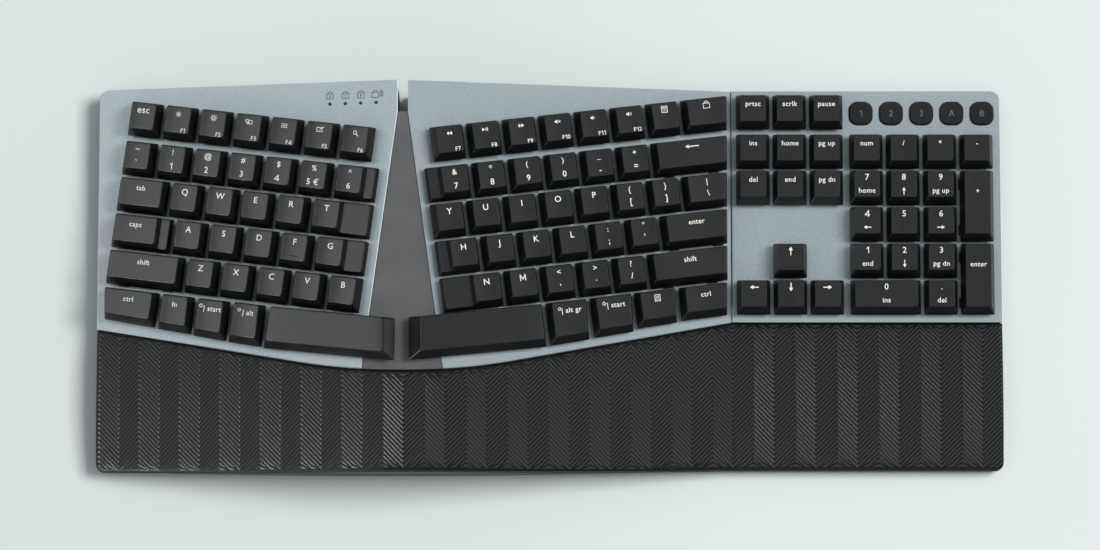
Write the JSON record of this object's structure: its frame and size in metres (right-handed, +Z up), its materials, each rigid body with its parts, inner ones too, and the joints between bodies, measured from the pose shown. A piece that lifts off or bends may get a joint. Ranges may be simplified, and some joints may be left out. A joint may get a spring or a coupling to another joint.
{
  "type": "ergonomic mechanical keyboard",
  "caption": "Tented, splayed full-size keyboard with low-profile mechanical keys, a number pad, mode buttons and a padded wave-shaped palm rest.",
  "frame": {"origin": "middle of the footprint, on the desk under the rubber feet", "axes": "+X to the right of a typist, +Y to the rear, +Z up"},
  "size_m": [0.4686, 0.2012, 0.056],
  "materials": {
    "case_plastic": "fine texture",
    "plate_metal": "blue-grey, fine blasted, bright broken edge",
    "bridge_plastic": "fine texture",
    "palm_fabric": "soft grey leatherette pressed with a herringbone of fine ribs",
    "keycap_plastic": "satin",
    "switch_plastic": "satin",
    "button_plastic": "satin",
    "foot_plastic": "fine texture",
    "rubber": "matt",
    "steel": "plain",
    "circuit_board": "solder mask",
    "ribbon_film": "polyimide film",
    "battery_film": "foil pouch",
    "light_pipe": "clear"
  },
  "bodies": {
    "case": {"battery_pack": "battery_film", "bottom_case": "case_plastic", "case_screws": "steel", "centre_bridge": "bridge_plastic", "charging_socket": "steel", "controller_board": "circuit_board", "foot_hinge_pins": "steel", "indicator_light_pipes": "light_pipe", "left_circuit_board": "circuit_board", "left_switch_housings": "switch_plastic", "left_top_plate": "plate_metal", "number_pad_circuit_board": "circuit_board", "number_pad_switch_housings": "switch_plastic", "number_pad_top_plate": "plate_metal", "palm_rest_board": "case_plastic", "palm_rest_pad": "palm_fabric", "ribbon_cables": "ribbon_film", "right_circuit_board": "circuit_board", "right_switch_housings": "switch_plastic", "right_top_plate": "plate_metal", "rubber_feet": "rubber", "stabiliser_guides": "switch_plastic", "stabiliser_wires": "steel"},
    "left_fold_out_foot": {"left_fold_out_foot": "foot_plastic"},
    "right_fold_out_foot": {"right_fold_out_foot": "foot_plastic"},
    "power_slider": {"power_slider": "button_plastic"},
    "mode_button_1": {"mode_button_1": "button_plastic"},
    "mode_button_2": {"mode_button_2": "button_plastic"},
    "mode_button_3": {"mode_button_3": "button_plastic"},
    "mode_button_4": {"mode_button_4": "button_plastic"},
    "mode_button_5": {"mode_button_5": "button_plastic"},
    "left_f_row_keys": {"left_f_row_keys": "keycap_plastic"},
    "left_number_row_keys": {"left_number_row_keys": "keycap_plastic"},
    "left_q_row_keys": {"left_q_row_keys": "keycap_plastic"},
    "left_a_row_keys": {"left_a_row_keys": "keycap_plastic"},
    "left_z_row_keys": {"left_z_row_keys": "keycap_plastic"},
    "left_bottom_row_keys": {"left_bottom_row_keys": "keycap_plastic"},
    "left_shift_key": {"left_shift_key": "keycap_plastic"},
    "left_space_bar": {"left_space_bar": "keycap_plastic"},
    "right_f_row_keys": {"right_f_row_keys": "keycap_plastic"},
    "right_number_row_keys": {"right_number_row_keys": "keycap_plastic"},
    "right_q_row_keys": {"right_q_row_keys": "keycap_plastic"},
    "right_a_row_keys": {"right_a_row_keys": "keycap_plastic"},
    "right_z_row_keys": {"right_z_row_keys": "keycap_plastic"},
    "right_bottom_row_keys": {"right_bottom_row_keys": "keycap_plastic"},
    "backspace_key": {"backspace_key": "keycap_plastic"},
    "enter_key": {"enter_key": "keycap_plastic"},
    "right_shift_key": {"right_shift_key": "keycap_plastic"},
    "right_space_bar": {"right_space_bar": "keycap_plastic"},
    "nav_top_keys": {"nav_top_keys": "keycap_plastic"},
    "nav_block_keys": {"nav_block_keys": "keycap_plastic"},
    "arrow_keys": {"arrow_keys": "keycap_plastic"},
    "pad_first_row_keys": {"pad_first_row_keys": "keycap_plastic"},
    "pad_second_row_keys": {"pad_second_row_keys": "keycap_plastic"},
    "pad_third_row_keys": {"pad_third_row_keys": "keycap_plastic"},
    "pad_fourth_row_keys": {"pad_fourth_row_keys": "keycap_plastic"},
    "pad_last_row_keys": {"pad_last_row_keys": "keycap_plastic"},
    "pad_plus_key": {"pad_plus_key": "keycap_plastic"},
    "pad_enter_key": {"pad_enter_key": "keycap_plastic"}
  },
  "joints": [
    {"name": "left_foot_fold", "type": "hinge", "parent": "case", "child": "left_fold_out_foot", "pos_m": [-0.2, 0.082, 0.0034], "axis": [1, 0, 0], "range_deg": [0, 80]},
    {"name": "right_foot_fold", "type": "hinge", "parent": "case", "child": "right_fold_out_foot", "pos_m": [0.2, 0.082, 0.0034], "axis": [1, 0, 0], "range_deg": [0, 80]},
    {"name": "power_slide", "type": "slide", "parent": "case", "child": "power_slider", "axis": [1, 0, 0], "range_m": [0, 0.002]},
    {"name": "mode_button_1_press", "type": "slide", "parent": "case", "child": "mode_button_1", "axis": [0, 0, -1], "range_m": [0, 0.0005], "stiffness_N_per_m": 1200, "springref_m": -0.0006},
    {"name": "mode_button_2_press", "type": "slide", "parent": "case", "child": "mode_button_2", "axis": [0, 0, -1], "range_m": [0, 0.0005], "stiffness_N_per_m": 1200, "springref_m": -0.0006},
    {"name": "mode_button_3_press", "type": "slide", "parent": "case", "child": "mode_button_3", "axis": [0, 0, -1], "range_m": [0, 0.0005], "stiffness_N_per_m": 1200, "springref_m": -0.0006},
    {"name": "mode_button_4_press", "type": "slide", "parent": "case", "child": "mode_button_4", "axis": [0, 0, -1], "range_m": [0, 0.0005], "stiffness_N_per_m": 1200, "springref_m": -0.0006},
    {"name": "mode_button_5_press", "type": "slide", "parent": "case", "child": "mode_button_5", "axis": [0, 0, -1], "range_m": [0, 0.0005], "stiffness_N_per_m": 1200, "springref_m": -0.0006},
    {"name": "left_f_row_keys_press", "type": "slide", "parent": "case", "child": "left_f_row_keys", "axis": [0.2079, 0, -0.9781], "range_m": [0, 0.003], "stiffness_N_per_m": 588, "springref_m": -0.004},
    {"name": "left_number_row_keys_press", "type": "slide", "parent": "case", "child": "left_number_row_keys", "axis": [0.2079, 0, -0.9781], "range_m": [0, 0.003], "stiffness_N_per_m": 588, "springref_m": -0.004},
    {"name": "left_q_row_keys_press", "type": "slide", "parent": "case", "child": "left_q_row_keys", "axis": [0.2079, 0, -0.9781], "range_m": [0, 0.003], "stiffness_N_per_m": 504, "springref_m": -0.004},
    {"name": "left_a_row_keys_press", "type": "slide", "parent": "case", "child": "left_a_row_keys", "axis": [0.2079, 0, -0.9781], "range_m": [0, 0.003], "stiffness_N_per_m": 504, "springref_m": -0.004},
    {"name": "left_z_row_keys_press", "type": "slide", "parent": "case", "child": "left_z_row_keys", "axis": [0.2079, 0, -0.9781], "range_m": [0, 0.003], "stiffness_N_per_m": 420, "springref_m": -0.004},
    {"name": "left_bottom_row_keys_press", "type": "slide", "parent": "case", "child": "left_bottom_row_keys", "axis": [0.2079, 0, -0.9781], "range_m": [0, 0.003], "stiffness_N_per_m": 336, "springref_m": -0.004},
    {"name": "left_shift_key_press", "type": "slide", "parent": "case", "child": "left_shift_key", "axis": [0.2079, 0, -0.9781], "range_m": [0, 0.003], "stiffness_N_per_m": 84, "springref_m": -0.004},
    {"name": "left_space_bar_press", "type": "slide", "parent": "case", "child": "left_space_bar", "axis": [0.2079, 0, -0.9781], "range_m": [0, 0.003], "stiffness_N_per_m": 84, "springref_m": -0.004},
    {"name": "right_f_row_keys_press", "type": "slide", "parent": "case", "child": "right_f_row_keys", "axis": [-0.2079, 0, -0.9781], "range_m": [0, 0.003], "stiffness_N_per_m": 672, "springref_m": -0.004},
    {"name": "right_number_row_keys_press", "type": "slide", "parent": "case", "child": "right_number_row_keys", "axis": [-0.2079, 0, -0.9781], "range_m": [0, 0.003], "stiffness_N_per_m": 504, "springref_m": -0.004},
    {"name": "right_q_row_keys_press", "type": "slide", "parent": "case", "child": "right_q_row_keys", "axis": [-0.2079, 0, -0.9781], "range_m": [0, 0.003], "stiffness_N_per_m": 672, "springref_m": -0.004},
    {"name": "right_a_row_keys_press", "type": "slide", "parent": "case", "child": "right_a_row_keys", "axis": [-0.2079, 0, -0.9781], "range_m": [0, 0.003], "stiffness_N_per_m": 504, "springref_m": -0.004},
    {"name": "right_z_row_keys_press", "type": "slide", "parent": "case", "child": "right_z_row_keys", "axis": [-0.2079, 0, -0.9781], "range_m": [0, 0.003], "stiffness_N_per_m": 420, "springref_m": -0.004},
    {"name": "right_bottom_row_keys_press", "type": "slide", "parent": "case", "child": "right_bottom_row_keys", "axis": [-0.2079, 0, -0.9781], "range_m": [0, 0.003], "stiffness_N_per_m": 336, "springref_m": -0.004},
    {"name": "backspace_key_press", "type": "slide", "parent": "case", "child": "backspace_key", "axis": [-0.2079, 0, -0.9781], "range_m": [0, 0.003], "stiffness_N_per_m": 84, "springref_m": -0.004},
    {"name": "enter_key_press", "type": "slide", "parent": "case", "child": "enter_key", "axis": [-0.2079, 0, -0.9781], "range_m": [0, 0.003], "stiffness_N_per_m": 84, "springref_m": -0.004},
    {"name": "right_shift_key_press", "type": "slide", "parent": "case", "child": "right_shift_key", "axis": [-0.2079, 0, -0.9781], "range_m": [0, 0.003], "stiffness_N_per_m": 84, "springref_m": -0.004},
    {"name": "right_space_bar_press", "type": "slide", "parent": "case", "child": "right_space_bar", "axis": [-0.2079, 0, -0.9781], "range_m": [0, 0.003], "stiffness_N_per_m": 84, "springref_m": -0.004},
    {"name": "nav_top_keys_press", "type": "slide", "parent": "case", "child": "nav_top_keys", "axis": [0, 0, -1], "range_m": [0, 0.003], "stiffness_N_per_m": 252, "springref_m": -0.004},
    {"name": "nav_block_keys_press", "type": "slide", "parent": "case", "child": "nav_block_keys", "axis": [0, 0, -1], "range_m": [0, 0.003], "stiffness_N_per_m": 504, "springref_m": -0.004},
    {"name": "arrow_keys_press", "type": "slide", "parent": "case", "child": "arrow_keys", "axis": [0, 0, -1], "range_m": [0, 0.003], "stiffness_N_per_m": 336, "springref_m": -0.004},
    {"name": "pad_first_row_keys_press", "type": "slide", "parent": "case", "child": "pad_first_row_keys", "axis": [0, 0, -1], "range_m": [0, 0.003], "stiffness_N_per_m": 336, "springref_m": -0.004},
    {"name": "pad_second_row_keys_press", "type": "slide", "parent": "case", "child": "pad_second_row_keys", "axis": [0, 0, -1], "range_m": [0, 0.003], "stiffness_N_per_m": 252, "springref_m": -0.004},
    {"name": "pad_third_row_keys_press", "type": "slide", "parent": "case", "child": "pad_third_row_keys", "axis": [0, 0, -1], "range_m": [0, 0.003], "stiffness_N_per_m": 252, "springref_m": -0.004},
    {"name": "pad_fourth_row_keys_press", "type": "slide", "parent": "case", "child": "pad_fourth_row_keys", "axis": [0, 0, -1], "range_m": [0, 0.003], "stiffness_N_per_m": 252, "springref_m": -0.004},
    {"name": "pad_last_row_keys_press", "type": "slide", "parent": "case", "child": "pad_last_row_keys", "axis": [0, 0, -1], "range_m": [0, 0.003], "stiffness_N_per_m": 168, "springref_m": -0.004},
    {"name": "pad_plus_key_press", "type": "slide", "parent": "case", "child": "pad_plus_key", "axis": [0, 0, -1], "range_m": [0, 0.003], "stiffness_N_per_m": 84, "springref_m": -0.004},
    {"name": "pad_enter_key_press", "type": "slide", "parent": "case", "child": "pad_enter_key", "axis": [0, 0, -1], "range_m": [0, 0.003], "stiffness_N_per_m": 84, "springref_m": -0.004}
  ]
}
